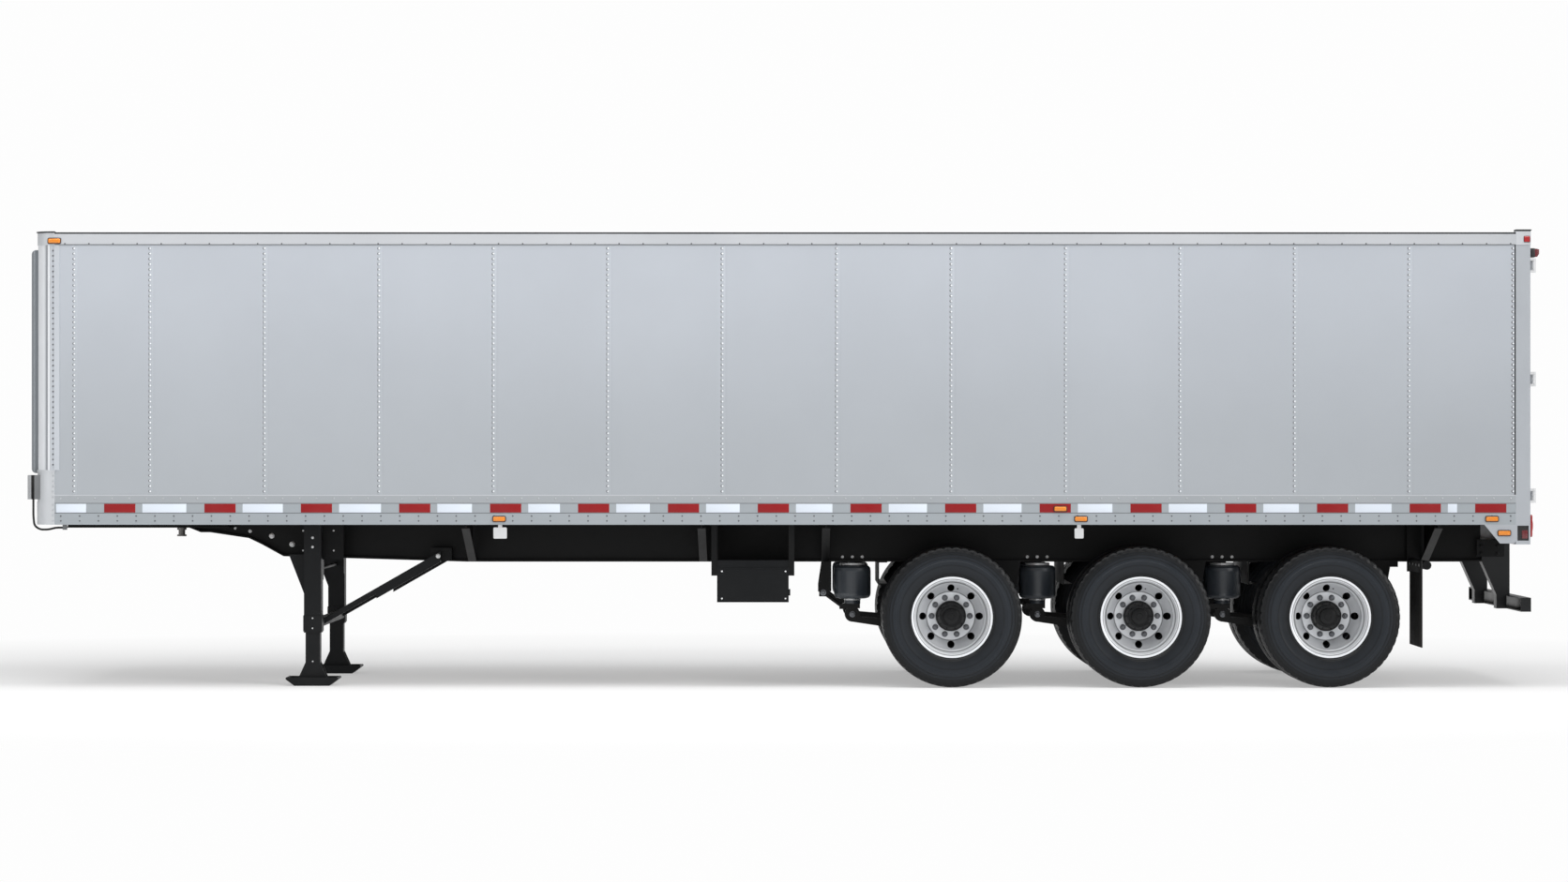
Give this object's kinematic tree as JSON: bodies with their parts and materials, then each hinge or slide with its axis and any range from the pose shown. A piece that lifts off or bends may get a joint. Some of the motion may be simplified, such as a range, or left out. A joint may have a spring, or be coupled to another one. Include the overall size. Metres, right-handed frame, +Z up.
{
  "type": "closed van semi trailer",
  "caption": "Long closed-van trailer on three twin-wheel axles with a kingpin at its nose, landing legs and two swinging rear doors.",
  "frame": {"origin": "on the ground under the middle of the trailer's overall box", "axes": "+X along the trailer towards the rear doors, +Y to the kerb side, +Z up"},
  "size_m": [11.232, 2.63, 3.407],
  "materials": {
    "body_alloy": "satin mill finish",
    "casting_alloy": "cast, worn",
    "wall_sheet": "gloss white-grey prepaint",
    "fairing_paint": "satin grey",
    "rail_alloy": "extruded, brushed",
    "roof_sheet": "weathered sheet",
    "zinc_steel": "zinc plated",
    "floor_boards": "laminated hardwood",
    "chassis_paint": "black chassis paint",
    "pin_steel": "greased forged steel",
    "gear_paint": "black paint",
    "axle_paint": "black paint",
    "bellows_rubber": "matte",
    "tank_paint": "black paint",
    "flap_rubber": "matte",
    "guard_paint": "black paint with red and white tape",
    "box_paint": "black paint",
    "cable_sheath": "matte black sheath",
    "amber_lens": "amber lens",
    "red_lens": "red lens",
    "door_sheet": "gloss white-grey prepaint",
    "tyre_tread": "worn tread rubber",
    "wheel_alloy": "polished forged wheel"
  },
  "bodies": {
    "trailer": {"corner_posts": "body_alloy", "corner_castings": "casting_alloy", "front_wall": "wall_sheet", "nose_fairing": "fairing_paint", "front_rails": "rail_alloy", "side_wall_right": "wall_sheet", "side_wall_left": "wall_sheet", "bottom_rails": "rail_alloy", "top_rails": "rail_alloy", "roof": "roof_sheet", "roof_bows": "zinc_steel", "floor": "floor_boards", "crossmembers": "chassis_paint", "rear_posts": "rail_alloy", "rear_header": "rail_alloy", "rear_sill": "rail_alloy", "hinge_brackets": "zinc_steel", "frame_rails": "chassis_paint", "outriggers": "chassis_paint", "coupler_plate": "chassis_paint", "kingpin": "pin_steel", "landing_legs": "gear_paint", "landing_feet": "gear_paint", "leg_mounts": "chassis_paint", "leg_cross_members": "gear_paint", "leg_braces": "gear_paint", "axles": "axle_paint", "hangers": "chassis_paint", "suspension_arms": "axle_paint", "air_springs": "bellows_rubber", "brake_chambers": "zinc_steel", "air_tanks": "tank_paint", "mud_flaps": "flap_rubber", "underride_bar": "guard_paint", "underride_posts": "chassis_paint", "toolbox": "box_paint", "toolbox_bars": "chassis_paint", "connection_box": "box_paint", "connection_cable": "cable_sheath", "side_lamps": "amber_lens", "rear_lamps": "red_lens"},
    "door_left": {"door_left": "door_sheet", "door_left_straps": "zinc_steel", "door_left_locks": "zinc_steel"},
    "door_right": {"door_right": "door_sheet", "door_right_straps": "zinc_steel", "door_right_locks": "zinc_steel"},
    "wheel_axle_1_left": {"tyres_axle_1_left": "tyre_tread", "wheels_axle_1_left": "wheel_alloy"},
    "wheel_axle_1_right": {"tyres_axle_1_right": "tyre_tread", "wheels_axle_1_right": "wheel_alloy"},
    "wheel_axle_2_left": {"tyres_axle_2_left": "tyre_tread", "wheels_axle_2_left": "wheel_alloy"},
    "wheel_axle_2_right": {"tyres_axle_2_right": "tyre_tread", "wheels_axle_2_right": "wheel_alloy"},
    "wheel_axle_3_left": {"tyres_axle_3_left": "tyre_tread", "wheels_axle_3_left": "wheel_alloy"},
    "wheel_axle_3_right": {"tyres_axle_3_right": "tyre_tread", "wheels_axle_3_right": "wheel_alloy"}
  },
  "joints": [
    {"name": "door_left_hinge", "type": "hinge", "parent": "trailer", "child": "door_left", "pos_m": [5.576, -1.283, 2.3], "axis": [0, 0, -1], "range_deg": [0, 265]},
    {"name": "door_right_hinge", "type": "hinge", "parent": "trailer", "child": "door_right", "pos_m": [5.576, 1.283, 2.3], "axis": [0, 0, 1], "range_deg": [0, 265]},
    {"name": "wheel_axle_1_left_spin", "type": "hinge", "parent": "trailer", "child": "wheel_axle_1_left", "pos_m": [1.256, -0.975, 0.525], "axis": [0, 1, 0], "continuous": true},
    {"name": "wheel_axle_1_right_spin", "type": "hinge", "parent": "trailer", "child": "wheel_axle_1_right", "pos_m": [1.256, 0.975, 0.525], "axis": [0, 1, 0], "continuous": true},
    {"name": "wheel_axle_2_left_spin", "type": "hinge", "parent": "trailer", "child": "wheel_axle_2_left", "pos_m": [2.661, -0.975, 0.525], "axis": [0, 1, 0], "continuous": true},
    {"name": "wheel_axle_2_right_spin", "type": "hinge", "parent": "trailer", "child": "wheel_axle_2_right", "pos_m": [2.661, 0.975, 0.525], "axis": [0, 1, 0], "continuous": true},
    {"name": "wheel_axle_3_left_spin", "type": "hinge", "parent": "trailer", "child": "wheel_axle_3_left", "pos_m": [4.066, -0.975, 0.525], "axis": [0, 1, 0], "continuous": true},
    {"name": "wheel_axle_3_right_spin", "type": "hinge", "parent": "trailer", "child": "wheel_axle_3_right", "pos_m": [4.066, 0.975, 0.525], "axis": [0, 1, 0], "continuous": true}
  ]
}
